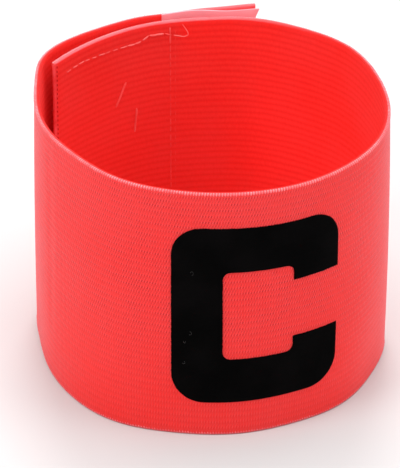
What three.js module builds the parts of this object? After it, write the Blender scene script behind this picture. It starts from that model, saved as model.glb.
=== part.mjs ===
// Elastic armband with a hook-and-loop fastening, standing on its lower edge.
// Millimetres, +Z up. The origin is on the floor, under the middle of the whole object.
// The front, with the letter, faces -Y. Bearings are degrees from +X, anticlockwise seen from above.
import * as THREE from 'three';

// ---- driving dimensions ----
const band_height = 70;         // width of the elastic strip, standing upright
const elastic_thickness = 1.3;
const loop_thickness = 1.2;
const hook_thickness = 1.2;
const letter_thickness = 0.4;
const layer_gap = 0.2;          // clearance between pieces that touch
const step_along = 1.6;         // facet length along the strip

// loop tape, on the outer face of the inner layer; distances along the strip from its inner end
const loop_start = 1.0;
const loop_end = 39.0;
const loop_edge_margin = 0.5;   // from the strip's edges, top and bottom

// hook tape, on the inner face of the outer flap
const hook_width = 25.6;
const hook_overhang = 1.1;      // past the strip's outer end
const hook_foot = 0.6;          // its lower edge stays this far above the strip's lower edge
const hook_end_drop = 0.55;     // its upper edge falls this far towards the free end

// block letter: a rounded rectangular ring with a gap in its right side
const letter_width = 42.9;         // at the middle of the wall
const letter_height = 50.6;
const letter_stroke = 12.6;
const letter_outer_radius = 8;
const letter_inner_radius = 2;
const letter_gap = 16.6;        // opening in the right side
const letter_centre_along = 172.3; // along the strip from its inner end
const letter_centre_height = 35.1;

// plan position of the ring's centre, so that the whole object is centred on the origin
const ring_centre = { x: -0.13, y: -1.56 };

// ---- route of the strip, seen from above ----
// It starts at the inner end at the back left, runs clockwise past the back, right, front and left,
// and overlaps its own start from outside. Radii are to the middle of the wall.
// belly: how far the wall bulges out at mid height. rise: how far the upper edge stands above
// (or sags below) band_height.
const route = [
  { bearing: 155.4, top_radius: 43.3, foot_radius: 43.0, belly: 0, rise: 0 },
  { bearing: 145, top_radius: 42.2, foot_radius: 41.8, belly: 0, rise: 0 },
  { bearing: 130, top_radius: 41.2, foot_radius: 40.9, belly: 0, rise: 0 },
  { bearing: 112, top_radius: 40.8, foot_radius: 40.6, belly: 0, rise: 0 },
  { bearing: 94, top_radius: 40.5, foot_radius: 40.6, belly: 0, rise: 0 },
  { bearing: 76, top_radius: 41.7, foot_radius: 41.7, belly: 0, rise: 0 },
  { bearing: 58, top_radius: 42.2, foot_radius: 42.4, belly: 0, rise: 0 },
  { bearing: 38, top_radius: 43.4, foot_radius: 43.4, belly: 0.1, rise: 0 },
  { bearing: 18, top_radius: 43.0, foot_radius: 42.6, belly: 0.2, rise: 0 },
  { bearing: -2, top_radius: 43.7, foot_radius: 43.4, belly: 0.4, rise: 0 },
  { bearing: -22, top_radius: 44.9, foot_radius: 43.0, belly: 0.5, rise: 0 },
  { bearing: -42, top_radius: 45.0, foot_radius: 43.8, belly: 0.5, rise: 0 },
  { bearing: -62, top_radius: 44.7, foot_radius: 43.2, belly: 0.4, rise: 0 },
  { bearing: -82, top_radius: 43.8, foot_radius: 43.4, belly: 0.3, rise: 0 },
  { bearing: -102, top_radius: 43.2, foot_radius: 43.3, belly: 0.2, rise: 0 },
  { bearing: -122, top_radius: 42.9, foot_radius: 44.3, belly: 0.1, rise: 0 },
  { bearing: -142, top_radius: 41.8, foot_radius: 43.4, belly: 0, rise: 0 },
  { bearing: -162, top_radius: 42.5, foot_radius: 42.4, belly: 0, rise: 0 },
  { bearing: -180, top_radius: 43.1, foot_radius: 42.7, belly: 0.3, rise: 0 },
  { bearing: -194, top_radius: 44.5, foot_radius: 44.9, belly: 0.2, rise: 0 },
  { bearing: -208, top_radius: 47.0, foot_radius: 46.5, belly: -0.2, rise: 0 },
  { bearing: -222, top_radius: 46.2, foot_radius: 45.9, belly: -0.2, rise: 0 },
  { bearing: -236, top_radius: 44.9, foot_radius: 44.7, belly: -0.1, rise: 0 },
  { bearing: -248, top_radius: 45.2, foot_radius: 44.9, belly: -0.1, rise: -0.4 },
  { bearing: -257, top_radius: 45.5, foot_radius: 45.2, belly: 0, rise: -0.85 },
  { bearing: -266, top_radius: 46.1, foot_radius: 46.0, belly: 0, rise: -0.6 },
  { bearing: -275, top_radius: 46.1, foot_radius: 46.4, belly: 0, rise: 0.2 },
  { bearing: -283.5, top_radius: 48.8, foot_radius: 48.7, belly: 0, rise: 0.15 },
];

// Natural cubic spline through one column of the table, against the angle turned from the start.
function column(name) {
  const x = route.map((row) => route[0].bearing - row.bearing);
  const y = route.map((row) => row[name]);
  const n = x.length;
  const bend = new Array(n).fill(0);
  const carry = new Array(n).fill(0);
  for (let i = 1; i < n - 1; i++) {
    const share = (x[i] - x[i - 1]) / (x[i + 1] - x[i - 1]);
    const pivot = share * bend[i - 1] + 2;
    const slope = (y[i + 1] - y[i]) / (x[i + 1] - x[i]) - (y[i] - y[i - 1]) / (x[i] - x[i - 1]);
    bend[i] = (share - 1) / pivot;
    carry[i] = ((6 * slope) / (x[i + 1] - x[i - 1]) - share * carry[i - 1]) / pivot;
  }
  bend[n - 1] = 0;
  for (let i = n - 2; i >= 0; i--) bend[i] = bend[i] * bend[i + 1] + carry[i];
  return (turned) => {
    let i = 0;
    while (i < n - 2 && turned > x[i + 1]) i++;
    const h = x[i + 1] - x[i];
    const a = (x[i + 1] - turned) / h;
    const b = (turned - x[i]) / h;
    return a * y[i] + b * y[i + 1] + (((a ** 3 - a) * bend[i] + (b ** 3 - b) * bend[i + 1]) * h * h) / 6;
  };
}
const top_radius = column('top_radius');
const foot_radius = column('foot_radius');
const belly = column('belly');
const rise = column('rise');
const full_turn = route[0].bearing - route[route.length - 1].bearing;

// A point of the wall's middle surface; level runs from 0 at the foot to 1 at the upper edge.
function middle(turned, level) {
  const angle = THREE.MathUtils.degToRad(route[0].bearing - turned);
  const straight = THREE.MathUtils.lerp(foot_radius(turned), top_radius(turned), level);
  const radius = straight + belly(turned) * 4 * level * (1 - level);
  return new THREE.Vector3(
    ring_centre.x + radius * Math.cos(angle),
    ring_centre.y + radius * Math.sin(angle),
    level * (band_height + rise(turned)),
  );
}

// Distance along the strip at mid height, against the angle turned.
const distance_table = [{ turned: 0, distance: 0 }];
for (let turned = 0.25; turned <= full_turn + 1e-9; turned += 0.25) {
  const last = distance_table[distance_table.length - 1];
  const piece = middle(turned, 0.5).distanceTo(middle(last.turned, 0.5));
  distance_table.push({ turned, distance: last.distance + piece });
}
const strip_length = distance_table[distance_table.length - 1].distance;

function turned_at(distance) {
  let i = 0;
  while (i < distance_table.length - 2 && distance > distance_table[i + 1].distance) i++;
  const a = distance_table[i];
  const b = distance_table[i + 1];
  return a.turned + ((distance - a.distance) / (b.distance - a.distance)) * (b.turned - a.turned);
}

// A point off the wall: distance along it, height as a level, and offset outwards from its middle.
function on_band(distance, level, offset) {
  const clamped = THREE.MathUtils.clamp(distance, 0, strip_length);
  const turned = turned_at(clamped);
  const point = middle(turned, level);
  const ahead = middle(Math.min(turned + 0.2, full_turn), 0.5);
  const behind = middle(Math.max(turned - 0.2, 0), 0.5);
  const along = ahead.sub(behind).setZ(0).normalize();
  const outward = new THREE.Vector3(-along.y, along.x, 0);
  return point.addScaledVector(outward, offset).addScaledVector(along, distance - clamped);
}

// A flat bar bent onto the band. Its local x is the distance along, y the offset, z the level.
// foot_height and top_height(share along), if given, set its real heights.
function bend_bar({ from, to, inner_offset, outer_offset, foot_level, top_level, rows, foot_height, top_height }) {
  const steps = Math.max(1, Math.ceil((to - from) / step_along));
  const bar = new THREE.BoxGeometry(1, 1, 1, steps, 1, rows);
  const place = bar.getAttribute('position');
  for (let i = 0; i < place.count; i++) {
    const distance = THREE.MathUtils.lerp(from, to, place.getX(i) + 0.5);
    const offset = THREE.MathUtils.lerp(inner_offset, outer_offset, place.getY(i) + 0.5);
    const level = THREE.MathUtils.lerp(foot_level, top_level, place.getZ(i) + 0.5);
    const p = on_band(distance, level, offset);
    if (top_height) p.z = THREE.MathUtils.lerp(foot_height, top_height(place.getX(i) + 0.5), place.getZ(i) + 0.5);
    place.setXYZ(i, p.x, p.y, p.z);
  }
  bar.computeVertexNormals();
  return bar;
}

// ---- letter ----
// Stations round the letter, each with a point on its outer and on its inner outline, as
// distances right of and above the letter's centre. It starts at the upper end of the gap.
function letter_stations() {
  const half_w = letter_width / 2;
  const half_h = letter_height / 2;
  const stations = [];
  const corners = [
    { side_x: 1, side_z: 1, start: 0 },
    { side_x: -1, side_z: 1, start: 90 },
    { side_x: -1, side_z: -1, start: 180 },
    { side_x: 1, side_z: -1, start: 270 },
  ];
  const corner_steps = 6;
  const straight_steps = 12;
  const gap_end = letter_gap / 2;
  stations.push({
    outer: new THREE.Vector2(half_w, gap_end),
    inner: new THREE.Vector2(half_w - letter_stroke, gap_end),
  });
  for (const corner of corners) {
    const arc = [];
    for (let k = 0; k <= corner_steps; k++) {
      const a = THREE.MathUtils.degToRad(corner.start + (90 * k) / corner_steps);
      const round = (radius, inset) =>
        new THREE.Vector2(
          corner.side_x * (half_w - inset - radius) + radius * Math.cos(a),
          corner.side_z * (half_h - inset - radius) + radius * Math.sin(a),
        );
      arc.push({ outer: round(letter_outer_radius, 0), inner: round(letter_inner_radius, letter_stroke) });
    }
    const last = stations[stations.length - 1];
    for (let k = 1; k < straight_steps; k++) {
      const share = k / straight_steps;
      stations.push({
        outer: last.outer.clone().lerp(arc[0].outer, share),
        inner: last.inner.clone().lerp(arc[0].inner, share),
      });
    }
    stations.push(...arc);
  }
  const last = stations[stations.length - 1];
  const end = {
    outer: new THREE.Vector2(half_w, -gap_end),
    inner: new THREE.Vector2(half_w - letter_stroke, -gap_end),
  };
  for (let k = 1; k <= 3; k++)
    stations.push({ outer: last.outer.clone().lerp(end.outer, k / 3), inner: last.inner.clone().lerp(end.inner, k / 3) });
  return stations;
}

function letter_plate() {
  const stations = letter_stations();
  const steps = stations.length - 1;
  const stroke_columns = 5;
  const plate = new THREE.BoxGeometry(1, 1, 1, steps, 1, stroke_columns);
  const place = plate.getAttribute('position');
  const skin = elastic_thickness / 2 + layer_gap;
  for (let i = 0; i < place.count; i++) {
    const station = stations[Math.round((place.getX(i) + 0.5) * steps)];
    const flat = station.inner.clone().lerp(station.outer, 0.5 + place.getZ(i));
    const offset = skin + letter_thickness * (0.5 + place.getY(i));
    // seen from the front, right is towards the strip's start
    const p = on_band(letter_centre_along - flat.x, (letter_centre_height + flat.y) / band_height, offset);
    place.setXYZ(i, p.x, p.y, p.z);
  }
  plate.computeVertexNormals();
  return plate;
}

// ---- pieces ----
const half_wall = elastic_thickness / 2;

function piece(name, geometry, colour, roughness) {
  const mesh = new THREE.Mesh(
    geometry,
    new THREE.MeshStandardMaterial({ color: new THREE.Color(colour), roughness, metalness: 0 }),
  );
  mesh.name = name;
  return mesh;
}

const armband = new THREE.Group();

armband.add(
  piece(
    'elastic_band',
    bend_bar({
      from: 0,
      to: strip_length,
      inner_offset: -half_wall,
      outer_offset: half_wall,
      foot_level: 0,
      top_level: 1,
      rows: 3,
    }),
    '#f2474b',
    0.85,
  ),
);

armband.add(
  piece(
    'loop_tape',
    bend_bar({
      from: loop_start,
      to: loop_end,
      inner_offset: half_wall + layer_gap,
      outer_offset: half_wall + layer_gap + loop_thickness,
      foot_level: loop_edge_margin / band_height,
      top_level: 1 - loop_edge_margin / band_height,
      rows: 2,
    }),
    '#e8333a',
    0.95,
  ),
);

// The hook tape's upper edge stays nearly level while the strip's own sags and rises behind it.
const hook = bend_bar({
  from: strip_length + hook_overhang - hook_width,
  to: strip_length + hook_overhang,
  inner_offset: -half_wall - layer_gap - hook_thickness,
  outer_offset: -half_wall - layer_gap,
  foot_level: 0,
  top_level: 1,
  rows: 2,
  foot_height: hook_foot,
  top_height: (share) => band_height - hook_end_drop * share * share,
});
armband.add(piece('hook_tape', hook, '#ff9aa6', 0.7));

armband.add(piece('letter_c', letter_plate(), '#0b0b0c', 0.8));

export default armband;
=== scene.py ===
import math

import bpy
import numpy as np
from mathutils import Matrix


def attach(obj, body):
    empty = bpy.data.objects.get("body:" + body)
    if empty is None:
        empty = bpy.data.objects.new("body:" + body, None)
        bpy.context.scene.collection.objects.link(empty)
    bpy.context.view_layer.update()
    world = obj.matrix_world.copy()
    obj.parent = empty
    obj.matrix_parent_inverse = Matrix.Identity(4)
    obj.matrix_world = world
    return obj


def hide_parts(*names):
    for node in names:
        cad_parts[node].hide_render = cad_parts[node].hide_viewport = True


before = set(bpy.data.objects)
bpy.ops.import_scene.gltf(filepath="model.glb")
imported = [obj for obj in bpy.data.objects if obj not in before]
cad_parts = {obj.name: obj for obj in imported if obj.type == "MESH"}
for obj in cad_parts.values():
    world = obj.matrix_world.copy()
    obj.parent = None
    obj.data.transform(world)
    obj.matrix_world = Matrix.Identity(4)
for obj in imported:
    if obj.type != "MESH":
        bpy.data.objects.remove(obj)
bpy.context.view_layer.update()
BODY = "root"
rng = np.random.default_rng(70333)

# ------------------------------------------------------------------ sizes, in millimetres
BAND_HEIGHT = 70.0
HALF_WALL = 0.65
RING_X, RING_Y = -0.13, -1.56
RIBS = 41
RIB = BAND_HEIGHT / RIBS            # one rib across the strip
COLUMN = 0.69                       # one pick of the weft along the strip

LOOP_START, LOOP_END, LOOP_MARGIN = 1.0, 39.0, 0.5
HOOK_WIDTH, HOOK_OVERHANG, HOOK_FOOT, HOOK_END_DROP = 25.6, 1.1, 0.6, 0.55

LETTER_W, LETTER_H, LETTER_STROKE = 42.9, 50.6, 12.6
LETTER_OUTER_R, LETTER_INNER_R, LETTER_GAP = 8.0, 2.0, 16.6
LETTER_ALONG, LETTER_UP = 172.3, 35.1

# bearing, radius at the upper edge, radius at the foot, bulge at mid height, rise of the upper edge
ROUTE = np.array([
    (155.4, 43.3, 43.0, 0, 0), (145, 42.2, 41.8, 0, 0), (130, 41.2, 40.9, 0, 0), (112, 40.8, 40.6, 0, 0),
    (94, 40.5, 40.6, 0, 0), (76, 41.7, 41.7, 0, 0), (58, 42.2, 42.4, 0, 0), (38, 43.4, 43.4, 0.1, 0),
    (18, 43.0, 42.6, 0.2, 0), (-2, 43.7, 43.4, 0.4, 0), (-22, 44.9, 43.0, 0.5, 0),
    (-42, 45.0, 43.8, 0.5, 0), (-62, 44.7, 43.2, 0.4, 0), (-82, 43.8, 43.4, 0.3, 0),
    (-102, 43.2, 43.3, 0.2, 0), (-122, 42.9, 44.3, 0.1, 0), (-142, 41.8, 43.4, 0, 0),
    (-162, 42.5, 42.4, 0, 0), (-180, 43.1, 42.7, 0.3, 0), (-194, 44.5, 44.9, 0.2, 0),
    (-208, 47.0, 46.5, -0.2, 0), (-222, 46.2, 45.9, -0.2, 0), (-236, 44.9, 44.7, -0.1, 0),
    (-248, 45.2, 44.9, -0.1, -0.4), (-257, 45.5, 45.2, 0, -0.85), (-266, 46.1, 46.0, 0, -0.6),
    (-275, 46.1, 46.4, 0, 0.2), (-283.5, 48.8, 48.7, 0, 0.15),
], float)


# ------------------------------------------------------------------ the strip's route
def natural_spline(x, y):
    n = len(x)
    h = np.diff(x)
    a = np.zeros((n, n))
    r = np.zeros(n)
    a[0, 0] = a[-1, -1] = 1
    for i in range(1, n - 1):
        a[i, i - 1], a[i, i], a[i, i + 1] = h[i - 1], 2 * (h[i - 1] + h[i]), h[i]
        r[i] = 6 * ((y[i + 1] - y[i]) / h[i] - (y[i] - y[i - 1]) / h[i - 1])
    m = np.linalg.solve(a, r)

    def at(q):
        q = np.asarray(q, float)
        i = np.clip(np.searchsorted(x, q) - 1, 0, n - 2)
        w = h[i]
        s, t = (x[i + 1] - q) / w, (q - x[i]) / w
        return s * y[i] + t * y[i + 1] + ((s**3 - s) * m[i] + (t**3 - t) * m[i + 1]) * w * w / 6
    return at


TURNED = ROUTE[0, 0] - ROUTE[:, 0]
FULL_TURN = TURNED[-1]
top_radius = natural_spline(TURNED, ROUTE[:, 1])
foot_radius = natural_spline(TURNED, ROUTE[:, 2])
belly = natural_spline(TURNED, ROUTE[:, 3])
rise = natural_spline(TURNED, ROUTE[:, 4])


def middle(turned, level):
    angle = np.radians(ROUTE[0, 0] - turned)
    radius = foot_radius(turned) * (1 - level) + top_radius(turned) * level + belly(turned) * 4 * level * (1 - level)
    return RING_X + radius * np.cos(angle), RING_Y + radius * np.sin(angle)


table_turned = np.append(np.arange(0, FULL_TURN, 0.25), FULL_TURN)
_x, _y = middle(table_turned, 0.5)
table_distance = np.concatenate([[0], np.cumsum(np.hypot(np.diff(_x), np.diff(_y)))])
LENGTH = table_distance[-1]


def at_bearing(bearing):
    return np.interp(ROUTE[0, 0] - np.asarray(bearing, float), table_turned, table_distance)


def on_band(distance, height, offset, level_height=False):
    """Points in millimetres, from distances along the strip, heights on it and offsets outwards from its middle."""
    distance, height, offset = np.broadcast_arrays(*(np.asarray(v, float) for v in (distance, height, offset)))
    inside = np.clip(distance, 0, LENGTH)
    turned = np.interp(inside, table_distance, table_turned)
    level = height / BAND_HEIGHT
    x, y = middle(turned, level)
    ax, ay = middle(np.minimum(turned + 0.2, FULL_TURN), 0.5)
    bx, by = middle(np.maximum(turned - 0.2, 0), 0.5)
    tx, ty = ax - bx, ay - by
    size = np.hypot(tx, ty)
    tx, ty = tx / size, ty / size
    x = x - ty * offset + tx * (distance - inside)
    y = y + tx * offset + ty * (distance - inside)
    z = height if level_height else level * (BAND_HEIGHT + rise(turned))
    return np.stack([x, y, z + 0 * x], -1)


# ------------------------------------------------------------------ smooth noise for shapes
def wander(q, wavelength, seed, octaves=2):
    """Smooth noise in about -1..1 along q."""
    q = np.asarray(q, float)
    out, total = np.zeros_like(q), 0.0
    for k in range(octaves):
        r = np.random.default_rng(seed * 17 + k)
        knots = r.uniform(-1, 1, 4096)
        f = q / wavelength * 2**k + 1000
        i = np.floor(f).astype(int)
        t = f - i
        t = t * t * (3 - 2 * t)
        w = 0.5**k
        out += w * (knots[i % 4096] * (1 - t) + knots[(i + 1) % 4096] * t)
        total += w
    return out / total


# ------------------------------------------------------------------ mesh helpers
def signed_volume(v, faces):
    total = 0.0
    for f in faces:
        f = np.asarray(f)
        if f.ndim == 1:
            f = f[None]
        a = v[f[:, 0]]
        for k in range(1, f.shape[1] - 1):
            total += np.einsum("ij,ij->i", a, np.cross(v[f[:, k]], v[f[:, k + 1]])).sum()
    return total / 6


def make_piece(name, verts_mm, faces, attributes=None, uv=None, sharp=60):
    """faces is a list of integer arrays, each (n, corners). uv is a list of arrays to match, each (n, corners, 2)."""
    v = np.asarray(verts_mm, float) / 1000
    faces = [np.asarray(f, np.int64) for f in faces if len(f)]
    if signed_volume(v, faces) < 0:
        faces = [f[:, ::-1] for f in faces]
        if uv is not None:
            uv = [u[:, ::-1] for u in uv]
    mesh = bpy.data.meshes.new(name)
    counts = np.concatenate([np.full(len(f), f.shape[1]) for f in faces])
    loops = np.concatenate([f.ravel() for f in faces])
    starts = np.concatenate([[0], np.cumsum(counts)[:-1]])
    mesh.vertices.add(len(v))
    mesh.vertices.foreach_set("co", v.astype(np.float32).ravel())
    mesh.loops.add(len(loops))
    mesh.loops.foreach_set("vertex_index", loops.astype(np.int32))
    mesh.polygons.add(len(counts))
    mesh.polygons.foreach_set("loop_start", starts.astype(np.int32))
    mesh.polygons.foreach_set("use_smooth", np.ones(len(counts), bool))
    mesh.update(calc_edges=True)
    mesh.validate()
    for key, values in (attributes or {}).items():
        values = np.asarray(values, np.float32)
        kind = "FLOAT_VECTOR" if values.ndim == 2 else "FLOAT"
        a = mesh.attributes.new(key, kind, "POINT")
        a.data.foreach_set("vector" if kind == "FLOAT_VECTOR" else "value", values.ravel())
    if uv is not None:
        layer = mesh.uv_layers.new(name="OFBake")
        layer.data.foreach_set("uv", np.concatenate([u.reshape(-1, 2) for u in uv]).astype(np.float32).ravel())
    if sharp:
        mesh.set_sharp_from_angle(angle=math.radians(sharp))
    obj = bpy.data.objects.new(name, mesh)
    bpy.context.scene.collection.objects.link(obj)
    return obj


def tubes(paths, radii, sides=6, up=(0, 0, 1), flat=1.0):
    """Closed tubes along paths (n, points, 3). radii is a number or (n, points). Ends are capped."""
    p = np.asarray(paths, float)
    n, m, _ = p.shape
    r = np.broadcast_to(np.asarray(radii, float), (n, m)).copy()
    t = np.gradient(p, axis=1)
    t /= np.linalg.norm(t, axis=2, keepdims=True) + 1e-12
    u = np.broadcast_to(np.asarray(up, float), p.shape).copy()
    u = u - (u * t).sum(2, keepdims=True) * t
    bad = np.linalg.norm(u, axis=2) < 1e-3
    u[bad] = np.cross(t[bad], (0.31, 0.77, 0.55))
    u /= np.linalg.norm(u, axis=2, keepdims=True)
    w = np.cross(t, u)
    a = np.arange(sides) / sides * 2 * np.pi
    ring = (p[:, :, None] + r[:, :, None, None] * (np.cos(a)[None, None, :, None] * u[:, :, None] * flat
                                                   + np.sin(a)[None, None, :, None] * w[:, :, None]))
    verts = ring.reshape(-1, 3)
    index = np.arange(n * m * sides).reshape(n, m, sides)
    nxt = np.roll(index, -1, 2)
    quads = np.stack([index[:, :-1], nxt[:, :-1], nxt[:, 1:], index[:, 1:]], -1).reshape(-1, 4)
    caps = np.concatenate([index[:, 0, ::-1], index[:, -1]], 0)
    return verts, [quads, caps]


def join(parts):
    """Joins (verts, faces) pairs into one."""
    verts, faces, base = [], {}, 0
    for v, fs in parts:
        for f in fs:
            f = np.asarray(f)
            if len(f):
                faces.setdefault(f.shape[1], []).append(f + base)
        verts.append(v)
        base += len(v)
    return np.concatenate(verts), [np.concatenate(f) for f in faces.values()]


# ------------------------------------------------------------------ material helpers
class Shader:
    def __init__(self, name):
        self.mat = bpy.data.materials.new(name)
        self.mat.use_nodes = True
        self.tree = self.mat.node_tree
        self.bsdf = self.tree.nodes["Principled BSDF"]

    def node(self, kind, **settings):
        n = self.tree.nodes.new(kind)
        for k, v in settings.items():
            setattr(n, k, v)
        return n

    def put(self, socket, value):
        if isinstance(value, bpy.types.NodeSocket):
            self.tree.links.new(value, socket)
        else:
            socket.default_value = value

    def math(self, op, a, b=None, c=None, clamp=False):
        n = self.node("ShaderNodeMath", operation=op, use_clamp=clamp)
        for i, v in enumerate((a, b, c)):
            if v is not None:
                self.put(n.inputs[i], v)
        return n.outputs[0]

    def step(self, value, low, high, to_low=0.0, to_high=1.0, smooth=True):
        n = self.node("ShaderNodeMapRange", interpolation_type="SMOOTHSTEP" if smooth else "LINEAR")
        for i, v in enumerate((value, low, high, to_low, to_high)):
            self.put(n.inputs[i], v)
        return n.outputs[0]

    def attribute(self, name):
        n = self.node("ShaderNodeAttribute", attribute_type="GEOMETRY", attribute_name=name)
        return n.outputs["Vector"], n.outputs["Fac"]

    def split(self, vector):
        n = self.node("ShaderNodeSeparateXYZ")
        self.put(n.inputs[0], vector)
        return n.outputs[0], n.outputs[1], n.outputs[2]

    def combine(self, x, y, z):
        n = self.node("ShaderNodeCombineXYZ")
        for i, v in enumerate((x, y, z)):
            self.put(n.inputs[i], v)
        return n.outputs[0]

    def noise(self, vector, scale, detail=2.0, rough=0.5):
        n = self.node("ShaderNodeTexNoise")
        self.put(n.inputs["Vector"], vector)
        n.inputs["Scale"].default_value = scale
        n.inputs["Detail"].default_value = detail
        n.inputs["Roughness"].default_value = rough
        return n.outputs["Fac"]

    def mix(self, factor, a, b, blend="MIX"):
        n = self.node("ShaderNodeMix", data_type="RGBA", blend_type=blend)
        self.put(n.inputs[0], factor)
        self.put(n.inputs[6], a if isinstance(a, bpy.types.NodeSocket) else (*a, 1))
        self.put(n.inputs[7], b if isinstance(b, bpy.types.NodeSocket) else (*b, 1))
        return n.outputs[2]

    def bump(self, height, distance, strength=1.0, normal=None):
        n = self.node("ShaderNodeBump")
        n.inputs["Strength"].default_value = strength
        n.inputs["Distance"].default_value = distance
        self.put(n.inputs["Height"], height)
        if normal is not None:
            self.put(n.inputs["Normal"], normal)
        return n.outputs[0]

    def finish(self, color, roughness, normal=None, specular=0.3, sheen=0.0, sheen_rough=0.4, tint=(1, 1, 1), through=0.0):
        b = self.bsdf
        self.put(b.inputs["Base Color"], color)
        self.put(b.inputs["Roughness"], roughness)
        if normal is not None:
            self.put(b.inputs["Normal"], normal)
        b.inputs["Specular IOR Level"].default_value = specular
        b.inputs["Sheen Weight"].default_value = sheen
        b.inputs["Sheen Roughness"].default_value = sheen_rough
        b.inputs["Sheen Tint"].default_value = (*tint, 1)
        if through:
            b.inputs["Subsurface Weight"].default_value = through
            b.inputs["Subsurface Radius"].default_value = (1.0, 0.10, 0.08)
            b.inputs["Subsurface Scale"].default_value = 0.0024
        return self.mat


CORAL = (0.93, 0.040, 0.038)
# painted shade: a deeper red for the lower wall
CORAL_FOOT_SHADE = (0.92, 0.029, 0.024)
# painted light: a brighter, more saturated red for the inner face, standing in for light bounced round inside the ring
CORAL_INSIDE_PAINTED_BOUNCE = (0.98, 0.029, 0.021)
CORAL_LIGHT = (0.96, 0.17, 0.19)
CORAL_DARK = (0.66, 0.012, 0.012)
EDGE_PALE_AND_HIGHLIGHT = (0.96, 0.15, 0.17)
CORAL_STROKE_AND_SHADE = (0.50, 0.008, 0.008)


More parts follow.
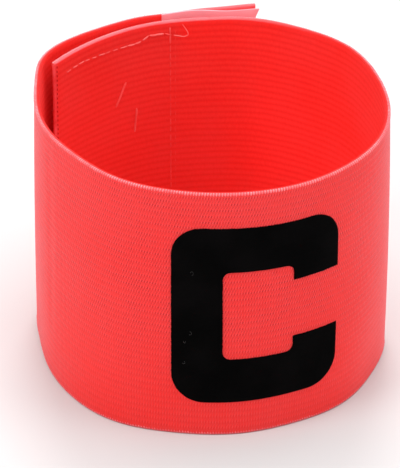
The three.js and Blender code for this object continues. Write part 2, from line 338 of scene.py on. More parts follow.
def elastic_material(name, sheen):
    """Woven elastic: ribs along the strip, picks across it, and short dark strokes where the picks dive between ribs."""
    s = Shader(name)
    vector, _ = s.attribute("weave")
    along, up, side = s.split(vector)          # millimetres, millimetres, 1 outside and 0 inside
    sway = s.math("MULTIPLY", s.math("SUBTRACT", s.noise(s.combine(s.math("MULTIPLY", along, 0.5), s.math("MULTIPLY", up, 0.8), 5.0), 0.22, 2.0), 0.5), s.step(side, 0, 1, 0.9, 0.35))
    rib = s.math("DIVIDE", s.math("ADD", up, sway), RIB)
    x = s.math("ABSOLUTE", s.math("SUBTRACT", s.math("FRACT", rib), 0.5))   # 0 on a rib's crest, 0.5 in a groove
    groove = s.step(x, 0.22, 0.5)
    # two rows of strokes to a rib, a strong and a weak one, half a pick apart
    rows = s.math("MULTIPLY", rib, 2.0)
    row = s.math("FLOOR", rows)
    odd = s.math("MULTIPLY", s.math("FRACT", s.math("MULTIPLY", row, 0.5)), 2.0)   # 0 or 1
    in_row = s.math("ABSOLUTE", s.math("SUBTRACT", s.math("FRACT", rows), 0.5))
    mm = s.combine(along, up, side)
    slow = s.noise(mm, 0.05, 2.0)
    patchy = s.noise(mm, 0.20, 2.0)
    spots = s.noise(s.combine(along, s.math("MULTIPLY", up, 0.7), 9.0), 1.1, 2.0)
    grain = s.noise(s.combine(s.math("MULTIPLY", along, 1.4), s.math("MULTIPLY", up, 0.6), side), 1.2, 3.0, 0.6)
    drift = s.math("MULTIPLY", s.math("SUBTRACT", s.noise(s.combine(s.math("MULTIPLY", along, 0.25), s.math("MULTIPLY", up, 1.3), 3.0), 0.35, 1.0), 0.5), 0.5)
    turns = s.math("ADD", s.math("ADD", s.math("DIVIDE", along, COLUMN), s.math("MULTIPLY", odd, 0.5)), drift)
    slant = s.math("MULTIPLY", s.math("SUBTRACT", s.math("FRACT", rows), 0.5), 0.45)
    wave = s.math("COSINE", s.math("MULTIPLY", s.math("ADD", turns, slant), 2 * math.pi))
    picks = s.math("COSINE", s.math("MULTIPLY", s.math("ADD", s.math("DIVIDE", along, COLUMN), drift), 2 * math.pi))
    stroke = s.math("MULTIPLY", s.step(in_row, 0.48, 0.24), s.step(wave, 0.3, -0.65))
    strength = s.math("MULTIPLY", s.step(patchy, 0.32, 0.68, 0.6, 1.0), s.step(spots, 0.35, 0.6, 0.4, 1.0))
    strength = s.math("MULTIPLY", strength, s.step(side, 0.0, 1.0, 0.05, 1.0))
    strength = s.math("MULTIPLY", strength, s.step(odd, 0.0, 1.0, 1.0, 0.65))
    # painted light: the strokes fade towards the foot, standing in for the light from above that shows the weave more
    # near the top
    strength = s.math("MULTIPLY", strength, s.step(up, 6.0, 40.0, 0.35, 1.0))
    strength = s.math("MULTIPLY", strength, s.step(along, 205.0, 250.0, 1.0, 0.8))
    stroke = s.math("MULTIPLY", stroke, strength)
    # painted shade: the outer colour deepens towards the foot
    color = s.mix(s.step(up, 0.0, 66.0), CORAL_FOOT_SHADE, CORAL)
    # painted light: the inner face takes the brighter, more saturated bounce-light red
    color = s.mix(s.step(side, 0.9, 0.1), color, CORAL_INSIDE_PAINTED_BOUNCE)
    color = s.mix(s.step(slow, 0.3, 0.7, 0.0, 0.06), color, CORAL_LIGHT)
    color = s.mix(s.math("MULTIPLY", s.step(picks, -0.2, 1.0), s.step(side, 0, 1, 0.0, 0.16)), color, CORAL_LIGHT)
    # painted shade: the rib grooves are darkened
    color = s.mix(s.math("MULTIPLY", groove, s.step(side, 0, 1, 0.18, 0.16)), color, CORAL_DARK)
    # painted highlight: the rib crests are lightened on the inner face
    color = s.mix(s.math("MULTIPLY", s.step(x, 0.30, 0.05), s.step(side, 0, 1, 0.07, 0.0)), color, CORAL_LIGHT)
    dash = s.math("MULTIPLY", s.math("MULTIPLY", s.step(in_row, 0.48, 0.2), s.step(wave, 0.2, 0.9)), strength)
    color = s.mix(s.math("MULTIPLY", dash, 0.42), color, CORAL_LIGHT)
    color = s.mix(s.math("MULTIPLY", stroke, 0.80), color, CORAL_STROKE_AND_SHADE)
    color = s.mix(s.step(grain, 0.35, 0.75, 0.0, 0.12), color, CORAL_DARK)
    # the last cords at both edges are paler, and the sealed ends are lightened as a painted highlight where their cut
    # faces catch the light
    edge = s.math("MAXIMUM", s.step(up, 69.4, 69.6), s.step(up, 0.6, 0.4))
    edge = s.math("MULTIPLY", edge, s.step(side, 0.45, 0.62))
    _, end = s.attribute("end")
    edge = s.math("MAXIMUM", s.math("MULTIPLY", edge, 0.5), end)
    # the inner third of the edge is in shade
    shade = s.math("MULTIPLY", s.math("MULTIPLY", s.step(up, 69.7, 69.85), s.step(side, 0.32, 0.12)), s.step(along, 45.0, 80.0))
    color = s.mix(s.math("MULTIPLY", shade, 0.7), color, CORAL_STROKE_AND_SHADE)
    # painted highlight: the whole top of the edge is lightened on the inner layer, and at the flap's end
    crown = s.math("MULTIPLY", s.step(up, 69.5, 69.75), s.step(along, 80.0, 45.0))
    lip = s.math("MULTIPLY", s.step(up, 69.1, 69.4), s.step(along, LENGTH - 20.0, LENGTH - 12.0))
    edge = s.math("MAXIMUM", edge, s.math("MAXIMUM", crown, lip))
    color = s.mix(s.math("MULTIPLY", edge, 0.80), color, EDGE_PALE_AND_HIGHLIGHT)
    height = s.math("ADD", s.math("MULTIPLY", picks, s.step(side, 0, 1, 0.02, 0.35)), s.math("MULTIPLY", stroke, -1.2))
    height = s.math("ADD", height, s.math("MULTIPLY", s.noise(mm, 3.2, 2.0), 0.5))
    rough = s.step(grain, 0.3, 0.8, 0.68, 0.86)
    return s.finish(color, rough, s.bump(height, 0.00005, 0.8), specular=0.2, sheen=sheen, sheen_rough=0.35, tint=(1.0, 0.68, 0.76), through=0.5)


def thread_material(name, color, light, sheen=0.3):
    """Spun thread: two plies seen as slanting light and dark turns."""
    s = Shader(name)
    coords = s.node("ShaderNodeTexCoord").outputs["Object"]
    fine = s.noise(coords, 4200, 2.0)
    broad = s.noise(coords, 260, 2.0)
    c = s.mix(s.step(broad, 0.3, 0.7), color, light)
    c = s.mix(s.step(fine, 0.45, 0.75, 0.0, 0.35), c, tuple(v * 0.6 for v in color))
    return s.finish(c, s.step(fine, 0.3, 0.7, 0.5, 0.75), s.bump(fine, 0.00004, 0.6), specular=0.3, sheen=sheen, tint=(1.0, 0.8, 0.8))


def loop_material():
    s = Shader("loop_pile")
    coords = s.node("ShaderNodeTexCoord").outputs["Object"]
    fluff = s.noise(coords, 1500, 4.0, 0.7)
    broad = s.noise(coords, 120, 2.0)
    c = s.mix(s.step(broad, 0.3, 0.7), (0.92, 0.040, 0.034), (0.95, 0.06, 0.054))
    c = s.mix(s.step(fluff, 0.40, 0.65, 0.5, 0.0), c, (0.62, 0.014, 0.012))
    return s.finish(c, s.step(fluff, 0.3, 0.7, 0.8, 0.95), s.bump(fluff, 0.0003, 0.8), specular=0.2, sheen=0.4, tint=(1.0, 0.75, 0.75))


def hook_material():
    """Pale nylon, lightened further with painted light for the light that passes through it: a closely woven backing
    under stiff clear hooks.
    """
    s = Shader("hook_strip")
    vector, _ = s.attribute("weave")
    along, up, tip = s.split(vector)
    weave = s.math("MULTIPLY", s.math("SINE", s.math("MULTIPLY", along, 2 * math.pi / 0.55)), s.math("SINE", s.math("MULTIPLY", up, 2 * math.pi / 0.45)))
    fine = s.noise(s.combine(along, up, 0.0), 2.5, 2.0)
    # painted light: the backing's pinks are lighter than the tape's own colour, standing in for light passing through
    # it
    c = s.mix(s.step(weave, -1.0, 1.0), (1.0, 0.34, 0.39), (1.0, 0.43, 0.48))
    c = s.mix(s.step(fine, 0.4, 0.7, 0.0, 0.25), c, (0.97, 0.28, 0.33))
    c = s.mix(s.step(tip, 0.0, 1.0, 0.0, 0.3), c, (1.0, 0.50, 0.54))
    return s.finish(c, s.step(fine, 0.3, 0.7, 0.42, 0.6), s.bump(weave, 0.00004, 0.4), specular=0.4, sheen=0.1)


def flock_material():
    s = Shader("flocked_letter")
    coords = s.node("ShaderNodeTexCoord").outputs["Object"]
    fibre = s.noise(coords, 3500, 3.0, 0.65)
    patch = s.noise(coords, 90, 3.0)
    c = s.mix(s.step(patch, 0.35, 0.7), (0.0011, 0.0010, 0.0010), (0.0024, 0.0020, 0.0021))
    c = s.mix(s.step(fibre, 0.6, 0.8, 0.0, 0.5), c, (0.007, 0.006, 0.006))
    return s.finish(c, s.step(fibre, 0.3, 0.7, 0.85, 1.0), s.bump(fibre, 0.0001, 0.5), specular=0.03, sheen=0.0)


ELASTIC = elastic_material("elastic_webbing", 0.33)
ELASTIC_INNER = elastic_material("elastic_webbing_inner", 0.04)
EDGE_THREAD = thread_material("edge_thread", (0.96, 0.18, 0.20), (0.99, 0.34, 0.37), 0.25)
SIDE_SEAM = thread_material("side_seam_thread", (0.93, 0.040, 0.034), (0.96, 0.085, 0.075))
SEWING = thread_material("sewing_thread", (0.95, 0.095, 0.088), (0.98, 0.22, 0.21))
LINT = thread_material("lint_fibre", (0.95, 0.09, 0.08), (0.98, 0.15, 0.14))
LOOP = loop_material()
HOOK = hook_material()
FLOCK = flock_material()


# ------------------------------------------------------------------ the elastic strip
def rib_shape(height):
    x = height / RIB
    x = x - np.floor(x) - 0.5
    return np.sqrt(np.clip(1 - (2 * x) ** 2, 0, 1))


def smooth(value, low, high):
    t = np.clip((value - low) / (high - low), 0, 1)
    return t * t * (3 - 2 * t)


def build_band():
    # heights of the wall's points, the same on both faces: four to a rib, and more at the rounded edges
    k = np.arange(0, RIBS * 4 + 1) * RIB / 4
    k = k[(k > 0.6) & (k < BAND_HEIGHT - 0.6)]
    curl = np.array([0.0, 0.03, 0.09, 0.19, 0.32])
    heights = np.concatenate([curl, k, BAND_HEIGHT - curl[::-1]])
    stations = np.linspace(0, LENGTH, 267)
    near = np.minimum(heights, BAND_HEIGHT - heights)
    r = 0.32
    round_off = np.where(near < r, (1 - np.clip((r - near) / r, 0, 1) ** 2.6) ** (1 / 2.6), 1.0)
    body = np.clip((near - 0.3) / 0.5, 0, 1)                      # ribs fade out into the edge
    depth_out, depth_in = 0.055, 0.035
    S, H = np.meshgrid(stations, heights, indexing="ij")
    # cut ends aren't quite straight, and the sealed last millimetre is thinner
    first, last = np.exp(-stations / 0.6)[:, None], np.exp(-(LENGTH - stations) / 0.9)[:, None]
    S = S + first * 0.10 * wander(H[:1], 3.1, 5)
    S = S - last * (0.10 + 0.12 * wander(H[:1], 2.3, 6))
    pinch = 1 - 0.58 * first - 0.25 * last
    slack_out = 0.03 * wander(S + 7.7 * H, 5.0, 8) + 0.02 * wander(S * 0.8 - 5.1 * H, 2.0, 9)
    rib = rib_shape(H)
    out = (HALF_WALL - body * depth_out * (1 - rib) - 0.02 + 0.3 * slack_out * body) * round_off * pinch
    inn = -(HALF_WALL - body * depth_in * (1 - rib) - 0.02 + 0.3 * slack_out * body) * round_off * pinch
    # two slight creases: a level one low on the left of the front, and an upright one further left
    level = smooth(S, at_bearing(-104), at_bearing(-112)) * smooth(S, at_bearing(-142), at_bearing(-132))
    upright = smooth(H, 8, 22) * smooth(H, 69, 60)
    bend = (-0.13 * level * np.exp(-(((H - 15.2 + 0.02 * (S - at_bearing(-120))) / 1.5) ** 2))
            - 0.16 * upright * np.exp(-(((S - at_bearing(-157.5)) / 1.4) ** 2)))
    out, inn = out + bend * body, inn + bend * body
    outer = on_band(S, H, out)
    inner = on_band(S, H, inn)
    outer[..., 2] *= 1.003
    inner[..., 2] *= 1.003
    n, m = S.shape
    verts = np.concatenate([outer.reshape(-1, 3), inner.reshape(-1, 3)])
    io = np.arange(n * m).reshape(n, m)
    ii = io + n * m

    def grid(i):
        return np.stack([i[:-1, :-1], i[1:, :-1], i[1:, 1:], i[:-1, 1:]], -1)
    fo, fi = grid(io), grid(ii)[:, :, ::-1]
    # the two faces meet at the foot and the upper edge
    def seam(a, b):
        return np.stack([a[:-1], b[:-1], b[1:], a[1:]], -1)
    foot = seam(io[:, 0], ii[:, 0])
    top = seam(io[:, -1], ii[:, -1])[:, ::-1]
    start = seam(ii[0], io[0])
    end = seam(io[-1], ii[-1])
    # bake map: each face in two halves, stacked as four rows
    half = n // 2
    U = S / LENGTH
    V = H / BAND_HEIGHT

    def uv_of(ids, row_of):
        """ids (faces, corners) of the grid, and the row each face is in."""
        si = ids % (n * m) // m
        hi = ids % m
        u = U[np.clip(si, 0, n - 1), hi]
        v = V[np.clip(si, 0, n - 1), hi]
        row = row_of[:, None]
        right = (row % 2) == 1
        uu = np.where(right, (u - U[half].mean()) / (1 - U[half].mean()), u / U[half].mean())
        return np.stack([0.005 + 0.99 * np.clip(uu, 0, 1), (row + 0.03 + 0.90 * v) / 4], -1)
    cell = np.repeat(np.arange(n - 1), m - 1)
    row_out = (cell >= half).astype(int)
    row_in = row_out + 2
    uv_fo = uv_of(fo.reshape(-1, 4), row_out)
    uv_fi = uv_of(fi.reshape(-1, 4), row_in)
    strip_row = (np.arange(n - 1) >= half).astype(int)

    def uv_seam(ids, v0, v1):
        base = uv_of(ids, strip_row)
        first_side = ids < n * m
        base[..., 1] = (strip_row[:, None] + np.where(first_side, v0, v1)) / 4
        return base
    uv_foot = uv_seam(foot, 0.012, 0.002)
    uv_top = uv_seam(top, 0.95, 0.965)
    uv_start = np.zeros((*start.shape, 2))
    uv_end = np.zeros((*end.shape, 2))
    for uvs, ids, base in ((uv_start, start, 2), (uv_end, end, 3)):
        hi = ids % m
        uvs[..., 0] = 0.005 + 0.99 * V[0, hi]
        uvs[..., 1] = (base + np.where(ids < n * m, 0.955, 0.985)) / 4
    weave = np.stack([
        np.concatenate([S.ravel(), S.ravel()]),
        np.concatenate([H.ravel(), H.ravel()]),
        np.concatenate([np.ones(n * m), np.zeros(n * m)]),
    ], 1)
    # painted highlight: the end attribute lightens the last fraction of a millimetre at both cut ends
    sealed = np.maximum(np.exp(-np.maximum(S, 0) / 0.14), np.exp(-(LENGTH - np.minimum(S, LENGTH)) / 0.14))
    obj = make_piece(
        "elastic_band_woven", verts,
        [np.concatenate([fo.reshape(-1, 4), fi.reshape(-1, 4), foot, top, start, end])],
        {"weave": weave, "end": np.concatenate([sealed.ravel(), sealed.ravel()])},
        [np.concatenate([uv_fo, uv_fi, uv_foot, uv_top, uv_start, uv_end])], sharp=75,
    )
    obj.data.materials.append(ELASTIC)
    obj.data.materials.append(ELASTIC_INNER)
    which = np.zeros(len(obj.data.polygons), np.int32)
    which[len(fo.reshape(-1, 4)):2 * len(fo.reshape(-1, 4))] = 1
    obj.data.polygons.foreach_set("material_index", which)
    return obj


band = build_band()


def edge_loops(name, upper):
    """The weft's turns over one edge of the strip, one small loop to each pick."""
    count = int(LENGTH / COLUMN)
    s = (np.arange(count) + 0.5) * LENGTH / count
    s = s + 0.04 * rng.uniform(-1, 1, count)
    arc = np.linspace(0.05, 1, 9)      # from the middle of the edge to the outer face
    reach = 0.62 + 0.03 * rng.uniform(-1, 1, count)
    drop = 0.46 + 0.08 * rng.uniform(-1, 1, count)
    a = arc[None] * np.pi / 2
    off = np.sin(a) * reach[:, None]
    down = (1 - np.cos(a)) * drop[:, None] + np.array([0.16, 0.05, 0, 0, 0, 0, 0, 0, 0.12])[None]
    lean = 0.12 * arc[None] + 0 * off
    high = BAND_HEIGHT + 0.25 - down if upper else 0.19 + down
    paths = on_band(s[:, None] + lean, high, off)
    radius = 0.16 * np.array([0.6, 0.9, 1, 1, 1, 1, 1, 0.9, 0.6])[None] * (1 + 0.1 * rng.uniform(-1, 1, (count, 1)))
    v, f = tubes(paths, radius, 6, up=(0.3, 0.2, 0.93))
    obj = make_piece(name, v, f)
    obj.data.materials.append(EDGE_THREAD)
    return obj


edge_top = edge_loops("selvedge_top", True)
edge_foot = edge_loops("selvedge_foot", False)


# ------------------------------------------------------------------ sewing
def stitches(points, offset, pitch=2.2, fill=0.74, radius=0.15, raise_by=0.10, seed=1, jitter=0.12):
    """Stitches of thread along a line of (distance, height) points on one face of the strip. offset is that face's, and its sign tells which way is up."""
    points = np.asarray(points, float)
    run = np.concatenate([[0], np.cumsum(np.hypot(*np.diff(points, axis=0).T))])
    count = max(1, int(round(run[-1] / pitch)))
    r = np.random.default_rng(seed)
    starts = (np.arange(count) + 0.5 * (1 - fill)) * run[-1] / count
    length = fill * run[-1] / count
    q = np.linspace(0, 1, 7)
    at = starts[:, None] + q[None] * length * (1 + 0.22 * r.uniform(-1, 1, (count, 1)))
    s = np.interp(at, run, points[:, 0])
    h = np.interp(at, run, points[:, 1])
    shift = jitter * r.uniform(-1, 1, (count, 1)) * (q[None] - 0.5)
    way = np.sign(offset)
    lift = (raise_by * np.sin(np.pi * q) ** 0.5 - 0.08)[None]
    paths = on_band(s, h + shift, offset + way * lift)
    radii = radius * np.array([0.7, 0.95, 1, 1, 1, 0.95, 0.7])[None] * (1 + 0.08 * r.uniform(-1, 1, (count, 1)))
    up = np.array([0.05, 0.02, 1.0])
    return tubes(paths, radii, 7, up=up)


def thread(points, radius, sides=7, steps=40):
    """One loose thread through (distance, height, offset) points."""
    points = np.asarray(points, float)
    run = np.concatenate([[0], np.cumsum(np.linalg.norm(np.diff(points, axis=0), axis=1))])
    t = np.linspace(0, run[-1], steps)
    cols = [np.interp(t, run, points[:, k]) for k in range(3)]
    soft = np.ones(5) / 5
    for k in range(3):
        c = cols[k].copy()
        pad = np.pad(c, 2, mode="edge")
        c2 = np.convolve(pad, soft, "valid")
        c2[0], c2[-1] = c[0], c[-1]
        cols[k] = c2
    path = on_band(cols[0], cols[1], cols[2])[None]
    taper = np.ones(steps)
    taper[:2] = (0.5, 0.8)
    taper[-2:] = (0.8, 0.5)
    return tubes(path, radius * taper[None], sides, up=(0.2, 0.1, 0.97))


INNER = -HALF_WALL + 0.02
# the row that holds the loop tape's upper edge: bearing and height
upper_row = [(149.4, 65.6), (141.1, 66.1), (136.4, 65.8), (126.3, 65.6), (121.5, 65.6), (117.9, 65.6), (115.3, 66.1), (112.8, 67.2)]
upper_row_right = [(106.9, 67.0), (102.9, 66.1), (100.6, 65.8)]
to_strip = lambda rows: [(float(at_bearing(b)), z) for b, z in rows]
parts = [
    stitches(to_strip(upper_row[:5]), INNER, 2.15, 0.78, 0.15, raise_by=0.12, seed=11, jitter=0.2),
    stitches(to_strip(upper_row[4:]), INNER, 2.3, 0.85, 0.21, raise_by=0.16, seed=17, jitter=0.25),
    thread([(float(at_bearing(112.6)), 67.2, INNER - 0.05), (float(at_bearing(111.2)), 67.05, INNER - 0.22), (float(at_bearing(109.4)), 67.15, INNER - 0.25), (float(at_bearing(107.2)), 67.0, INNER - 0.08)], 0.27),
    stitches(to_strip(upper_row_right), INNER, 2.0, 0.82, 0.18, raise_by=0.14, seed=12),
    thread([(float(at_bearing(b)), z, INNER - o) for b, z, o in ((101.2, 65.75, 0.05), (99.6, 65.7, 0.25), (98.4, 66.1, 0.4), (98.3, 66.9, 0.45), (99.1, 67.9, 0.4), (99.9, 68.8, 0.3), (100.4, 69.3, 0.2))], 0.12),
    stitches([(float(at_bearing(104.9)), 68.9), (float(at_bearing(104.8)), 64.0)], INNER, 2.4, 0.82, 0.19, seed=13, jitter=0.3),
    stitches([(4.3, 3.6), (37.0, 3.6)], INNER, 2.3, 0.74, 0.13, seed=15),
]
v, f = join(parts)
seam_inside = make_piece("loop_tape_stitching", v, f)
seam_inside.data.materials.append(SEWING)
v, f = join([
    stitches([(float(at_bearing(104.8)), 63.6), (float(at_bearing(104.7)), 1.5)], INNER, 2.4, 0.82, 0.15, raise_by=0.05, seed=16, jitter=0.35),
    stitches([(float(at_bearing(103.0)), 68.5), (float(at_bearing(102.9)), 1.5)], INNER, 2.4, 0.66, 0.08, raise_by=0.02, seed=14),
])
side_seams = make_piece("loop_tape_side_seams", v, f)
side_seams.data.materials.append(SIDE_SEAM)

OUTER = HALF_WALL - 0.04
a0, a1 = LENGTH + HOOK_OVERHANG - HOOK_WIDTH + 1.6, LENGTH - 2.2
v, f = join([
    stitches([(a0, 67.4), (a1, 67.4)], OUTER, 2.3, 0.76, 0.14, seed=21),
    stitches([(a1, 67.0), (a1, 3.0)], OUTER, 2.3, 0.76, 0.14, seed=22),
    stitches([(a1, 2.6), (a0, 2.6)], OUTER, 2.3, 0.76, 0.14, seed=23),
    stitches([(a0, 3.0), (a0, 67.0)], OUTER, 2.3, 0.76, 0.14, seed=24),
])
seam_flap = make_piece("hook_tape_stitching", v, f)
seam_flap.data.materials.append(SEWING)


# ------------------------------------------------------------------ needle holes by the inner end: short dark tubes sunk in the inner face, painted shade standing in for the shade in the holes
def needle_pits():
    count = 52
    h = 68.9 - np.arange(count) * 1.29
    s = 0.72 + 0.05 * rng.uniform(-1, 1, count)
    parts = []
    q = np.linspace(0, 1, 5)
    hh = h[:, None] + (q[None] - 0.5) * 0.62
    paths = on_band(s[:, None] + 0 * hh, hh, INNER + 0.05 - 0.02 * np.sin(np.pi * q)[None])
    return tubes(paths, 0.13 * np.array([0.5, 0.9, 1, 0.9, 0.5])[None], 6)


v, f = needle_pits()
pits = make_piece("needle_holes", v, f)
# painted shade: the holes' dark reds
pit_shader = Shader("needle_hole_shade")
pit_coords = pit_shader.node("ShaderNodeTexCoord").outputs["Object"]
pit_noise = pit_shader.noise(pit_coords, 900, 2.0)
pits.data.materials.append(pit_shader.finish(
    pit_shader.mix(pit_noise, (0.50, 0.008, 0.007), (0.66, 0.014, 0.012)), pit_shader.step(pit_noise, 0.2, 0.8, 0.85, 1.0), specular=0.05))

# ------------------------------------------------------------------ lint on the inner face and on the letter
lint_parts = [
    thread([(float(at_bearing(b)), z, INNER - o) for b, z, o in ((122.1, 55.1, 0.06), (122.9, 54.2, 0.14), (124.6, 51.6, 0.16), (126.6, 48.8, 0.05))], 0.27, 7, 24),
    thread([(float(at_bearing(b)), z, INNER - o) for b, z, o in ((117.9, 46.7, 0.05), (118.1, 44.5, 0.16), (118.5, 42.0, 0.12), (118.7, 39.8, 0.04))], 0.23, 7, 24),
]
v, f = join(lint_parts)
lint = make_piece("lint_inside", v, f)
lint.data.materials.append(LINT)


# ------------------------------------------------------------------ hook tape
def build_hook_tape():
    start = LENGTH + HOOK_OVERHANG - HOOK_WIDTH
    n, m = 44, 64
    share = np.linspace(0, 1, n)
    z = np.linspace(HOOK_FOOT, BAND_HEIGHT, m)
    Q, Z = np.meshgrid(share, z, indexing="ij")
    Z = Z - HOOK_END_DROP * Q**2 * (Z - HOOK_FOOT) / (BAND_HEIGHT - HOOK_FOOT)
    over = np.clip(HOOK_OVERHANG - 0.42 * (BAND_HEIGHT - Z), -0.2, HOOK_OVERHANG)
    end = LENGTH + over
    S = start + Q * (end - start) + 0.05 * wander(Z, 2.7, 31) * (Q < 0.02)
    near = np.minimum(np.minimum(Z - HOOK_FOOT, Z[:, -1:] - Z), np.minimum(S - start, end - S))
    thin = 0.62 + 0.38 * np.clip(near / 0.5, 0, 1) ** 0.5
    back = -HALF_WALL - 0.05 - 0.0 * S
    face = back - 0.60 * thin
    outer = on_band(S, Z, back, True)
    inner = on_band(S, Z, face, True)
    io = np.arange(n * m).reshape(n, m)
    ii = io + n * m
    grid = lambda i: np.stack([i[:-1, :-1], i[1:, :-1], i[1:, 1:], i[:-1, 1:]], -1).reshape(-1, 4)
    seam = lambda a, b: np.stack([a[:-1], b[:-1], b[1:], a[1:]], -1)
    faces = np.concatenate([
        grid(io), grid(ii)[:, ::-1], seam(io[:, 0], ii[:, 0]), seam(io[:, -1], ii[:, -1])[:, ::-1],
        seam(ii[0], io[0]), seam(io[-1], ii[-1]),
    ])
    verts = np.concatenate([outer.reshape(-1, 3), inner.reshape(-1, 3)])
    weave = np.stack([np.tile(S.ravel(), 2), np.tile(Z.ravel(), 2), np.zeros(2 * n * m)], 1)
    # hooks: rows of bent monofilaments, each row leaning the other way
    rows, cols = 52, 21
    R, C = np.meshgrid(np.arange(rows), np.arange(cols), indexing="ij")
    hz = HOOK_FOOT + 0.9 + R * (BAND_HEIGHT - HOOK_FOOT - 3.6 - HOOK_END_DROP) / (rows - 1)
    hs = start + 0.9 + (C + 0.5 * (R % 2)) * (HOOK_WIDTH - 2.2) / cols
    hz = (hz + 0.08 * rng.uniform(-1, 1, hz.shape)).ravel()
    hs = (hs + 0.08 * rng.uniform(-1, 1, hs.shape)).ravel()
    lean = np.where((R % 2) == 0, 1.0, -1.0).ravel()
    a = np.linspace(0, 1, 7)
    bend = np.array([0, 0.0, 0.06, 0.20, 0.38, 0.50, 0.54])
    stand = np.array([0, 0.16, 0.33, 0.45, 0.47, 0.38, 0.26])
    off = -HALF_WALL - 0.58 - 1.25 * stand[None] * (1 + 0.08 * rng.uniform(-1, 1, (len(hs), 1)))
    paths = on_band(hs[:, None] + lean[:, None] * bend[None], hz[:, None] + 0 * off, off, True)
    hv, hf = tubes(paths, 0.085 * np.array([1.2, 1, 1, 1, 1, 0.95, 0.7])[None], 5)
    verts2, faces2 = join([(verts, [faces]), (hv, hf)])
    hook_weave = np.stack([np.repeat(hs, 7 * 5), np.repeat(hz, 7 * 5), np.ones(len(hs) * 35)], 1)
    return verts2, faces2, np.concatenate([weave, hook_weave])


v, f, w = build_hook_tape()
hook_tape = make_piece("hook_tape_woven", v, f, {"weave": w})
hook_tape.data.materials.append(HOOK)


# ------------------------------------------------------------------ loop tape
def build_loop_tape():
    n, m = 60, 110
    s = np.linspace(LOOP_START, LOOP_END, n)
    z = np.linspace(LOOP_MARGIN, BAND_HEIGHT - LOOP_MARGIN, m)
    S, Z = np.meshgrid(s, z, indexing="ij")
    near = np.minimum(np.minimum(Z - LOOP_MARGIN, BAND_HEIGHT - LOOP_MARGIN - Z), np.minimum(S - LOOP_START, LOOP_END - S))
    puff = np.clip(near / 0.7, 0, 1) ** 0.5
    lumps = 0.06 * wander(S * 3 + 41 * Z, 1.3, 41) + 0.05 * wander(Z * 3 - 37 * S, 1.1, 42)
    base = HALF_WALL - 0.03 + 0 * S
    face = base + 0.45 + 0.26 * puff + lumps * puff
    outer = on_band(S, Z, face)
    inner = on_band(S, Z, base)
    io = np.arange(n * m).reshape(n, m)
    ii = io + n * m
    grid = lambda i: np.stack([i[:-1, :-1], i[1:, :-1], i[1:, 1:], i[:-1, 1:]], -1).reshape(-1, 4)
    seam = lambda a, b: np.stack([a[:-1], b[:-1], b[1:], a[1:]], -1)
    faces = np.concatenate([
        grid(io), grid(ii)[:, ::-1], seam(io[:, 0], ii[:, 0]), seam(io[:, -1], ii[:, -1])[:, ::-1],
        seam(ii[0], io[0]), seam(io[-1], ii[-1]),
    ])
    verts = np.concatenate([outer.reshape(-1, 3), inner.reshape(-1, 3)])
    count = 2200
    ls = rng.uniform(LOOP_START + 0.4, LOOP_END - 0.4, count)
    lz = rng.uniform(LOOP_MARGIN + 0.3, BAND_HEIGHT - LOOP_MARGIN - 0.3, count)
    turn = rng.uniform(0, 2 * np.pi, count)
    width = rng.uniform(0.25, 0.45, count)
    tall = rng.uniform(0.35, 0.62, count)
    q = np.linspace(0, 1, 6)
    ds = (np.cos(turn) * width)[:, None] * (q[None] - 0.5) * 2
    dz = (np.sin(turn) * width)[:, None] * (q[None] - 0.5) * 2
    off = HALF_WALL + 0.62 + tall[:, None] * np.sin(np.pi * q)[None]
    paths = on_band(ls[:, None] + ds, np.clip(lz[:, None] + dz, 0.3, BAND_HEIGHT - 0.3), off)
    hv, hf = tubes(paths, 0.045, 4)
    return join([(verts, [faces]), (hv, hf)])


v, f = build_loop_tape()
loop_tape = make_piece("loop_tape_pile", v, f)
loop_tape.data.materials.append(LOOP)


# ------------------------------------------------------------------ the letter
def letter_stations(spacing):
    """Pairs of points on the outer and the inner outline, round the letter from the upper end of its gap."""
    half_w, half_h, gap = LETTER_W / 2, LETTER_H / 2, LETTER_GAP / 2
    outer, inner = [(half_w, gap)], [(half_w - LETTER_STROKE, gap)]
    for sx, sz, start in ((1, 1, 0), (-1, 1, 90), (-1, -1, 180), (1, -1, 270)):
        for k in range(13):
            a = math.radians(start + 90 * k / 12)
            for into, radius, inset in ((outer, LETTER_OUTER_R, 0), (inner, LETTER_INNER_R, LETTER_STROKE)):
                into.append((sx * (half_w - inset - radius) + radius * math.cos(a), sz * (half_h - inset - radius) + radius * math.sin(a)))
    outer.append((half_w, -gap))
    inner.append((half_w - LETTER_STROKE, -gap))
    outer, inner = np.array(outer), np.array(inner)
    mid = (outer + inner) / 2
    run = np.concatenate([[0], np.cumsum(np.maximum(np.hypot(*np.diff(outer, axis=0).T), 0.5 * np.hypot(*np.diff(mid, axis=0).T)))])
    t = np.linspace(0, run[-1], int(run[-1] / spacing) + 1)
    pick = lambda a: np.stack([np.interp(t, run, a[:, 0]), np.interp(t, run, a[:, 1])], 1)
    return pick(outer), pick(inner)


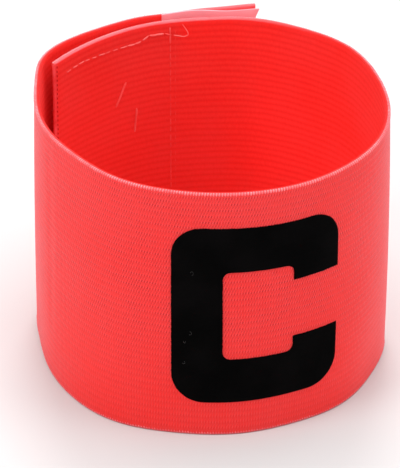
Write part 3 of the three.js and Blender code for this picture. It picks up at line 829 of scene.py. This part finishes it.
def build_letter():
    outer, inner = letter_stations(0.42)
    n = len(outer)
    shares = np.concatenate([[0, 0.006, 0.018, 0.04], np.linspace(0.07, 0.93, 25), [0.96, 0.982, 0.994, 1]])
    m = len(shares)
    P = inner[:, None] * (1 - shares)[None, :, None] + outer[:, None] * shares[None, :, None]
    # distance from the nearest border, for the rounded edge
    stroke = np.linalg.norm(outer - inner, axis=1)[:, None]
    near = np.minimum(shares, 1 - shares)[None] * stroke
    run = np.concatenate([[0], np.cumsum(np.linalg.norm(np.diff((outer + inner) / 2, axis=0), axis=1))])
    near = np.minimum(near, np.minimum(run, run[-1] - run)[:, None] + 0 * near)
    fringe = np.stack([wander(P[..., 0] * 9 + P[..., 1] * 31, 6.0, 51), wander(P[..., 1] * 9 - P[..., 0] * 27, 6.0, 52)], -1)
    P = P + 0.08 * fringe * (near < 0.05)[..., None]
    along = LETTER_ALONG - P[..., 0]
    up = LETTER_UP + P[..., 1]
    rib = rib_shape(up)
    swell = np.clip(near / 0.28, 0, 1) ** 0.5
    fluff = 0.03 * wander(P[..., 0] * 13 + P[..., 1] * 47, 5.0, 53)
    top = HALF_WALL + 0.10 + 0.26 * swell - 0.06 * (1 - rib) + fluff * swell
    under = HALF_WALL - 0.22 + 0 * top
    a = on_band(along, up, top)
    b = on_band(along, up, under)
    io = np.arange(n * m).reshape(n, m)
    ii = io + n * m
    grid = lambda i: np.stack([i[:-1, :-1], i[1:, :-1], i[1:, 1:], i[:-1, 1:]], -1).reshape(-1, 4)
    seam = lambda p, q: np.stack([p[:-1], q[:-1], q[1:], p[1:]], -1)
    faces = np.concatenate([
        grid(io), grid(ii)[:, ::-1], seam(io[:, 0], ii[:, 0]), seam(io[:, -1], ii[:, -1])[:, ::-1],
        seam(ii[0], io[0]), seam(io[-1], ii[-1]),
    ])
    return np.concatenate([a.reshape(-1, 3), b.reshape(-1, 3)]), [faces]


v, f = build_letter()
letter = make_piece("letter_c_flocked", v, f, sharp=50)
letter.data.materials.append(FLOCK)

# specks of grey lint on the letter's stem
speck_parts = []
for b_s, z, turn, size in ((188.6, 47.6, 0.4, 0.9), (189.0, 30.2, 1.3, 0.8), (190.4, 27.6, 2.6, 0.6), (190.6, 21.5, 1.9, 0.7)):
    a = np.linspace(0, 4.2, 14)
    s_ = b_s + size * 0.45 * np.cos(a + turn) * (1 - 0.1 * a / 4)
    h_ = z + size * 0.6 * np.sin(a + turn)
    path = on_band(s_, h_, HALF_WALL + 0.40 + 0.03 * np.sin(a * 1.7))
    speck_parts.append(tubes(path[None], 0.035, 5))
v, f = join(speck_parts)
specks = make_piece("lint_on_letter", v, f)
grey = Shader("grey_lint")
grey_noise = grey.noise(grey.node("ShaderNodeTexCoord").outputs["Object"], 800, 2.0)
specks.data.materials.append(grey.finish(grey.mix(grey_noise, (0.03, 0.03, 0.03), (0.08, 0.075, 0.075)), grey.step(grey_noise, 0.2, 0.8, 0.7, 0.9), specular=0.1))


# ------------------------------------------------------------------ frame
for piece, slot in (
    (band, "elastic_webbing"), (edge_top, "elastic_webbing"), (edge_foot, "elastic_webbing"),
    (seam_inside, "elastic_webbing"), (side_seams, "elastic_webbing"), (seam_flap, "elastic_webbing"), (pits, "elastic_webbing"), (lint, "elastic_webbing"),
    (hook_tape, "hook_strip"), (loop_tape, "loop_pile"), (letter, "flocked_letter"), (specks, "flocked_letter"),
):
    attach(piece, BODY)
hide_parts("elastic_band")
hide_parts("hook_tape")
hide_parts("loop_tape")
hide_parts("letter_c")

# ------------------------------------------------------------------ floor, light and camera
bpy.ops.mesh.primitive_plane_add(size=12, location=(0, 0, -0.00003))
floor = bpy.context.object
floor.name = "floor"
pale = Shader("pale_floor")
pale_noise = pale.noise(pale.node("ShaderNodeTexCoord").outputs["Object"], 14, 3.0)
floor.data.materials.append(pale.finish(pale.mix(pale_noise, (0.63, 0.63, 0.63), (0.65, 0.65, 0.65)), pale.step(pale_noise, 0.3, 0.7, 0.75, 0.85), specular=0.1))

world = bpy.data.worlds.new("studio")
bpy.context.scene.world = world
world.use_nodes = True
world.node_tree.nodes["Background"].inputs[0].default_value = (1, 1, 1, 1)
world.node_tree.nodes["Background"].inputs[1].default_value = 0.55


def area_light(name, location, aim, size, power, color=(1, 1, 1)):
    data = bpy.data.lights.new(name, "AREA")
    data.shape = "DISK"
    data.size = size
    data.energy = power
    data.color = color
    lamp = bpy.data.objects.new(name, data)
    lamp.location = location
    bpy.context.scene.collection.objects.link(lamp)
    direction = np.array(aim, float) - np.array(location, float)
    from mathutils import Vector
    lamp.rotation_mode = "QUATERNION"
    lamp.rotation_quaternion = Vector(direction).to_track_quat("-Z", "Y")
    return lamp


area_light("key_left", (-1.05, -0.6, 1.05), (0, 0, 0.03), 0.8, 8.2)
area_light("key_right", (1.2, -0.35, 0.8), (0, 0, 0.03), 0.8, 3.8)
area_light("fill_top", (0.1, 0.0, 1.6), (0, 0, 0.03), 1.2, 16.0)
area_light("back_top", (0.0, 0.95, 1.35), (0, 0, 0.03), 0.6, 11.5)

PITCH = 0.5612775740565268
camera_data = bpy.data.cameras.new("camera")
camera_data.sensor_width = 36
camera_data.lens = 488.949
camera_data.clip_start, camera_data.clip_end = 0.05, 50
camera = bpy.data.objects.new("camera", camera_data)
camera.location = ((RING_X - 2.682435) / 1000, (RING_Y - 1350.393276) / 1000, 0.880208)
camera.rotation_euler = (math.pi / 2 - PITCH, 0, 0)
bpy.context.scene.collection.objects.link(camera)
bpy.context.scene.camera = camera
bpy.context.scene.view_settings.view_transform = "Standard"
bpy.context.scene.view_settings.look = "None"

bpy.context.view_layer.update()
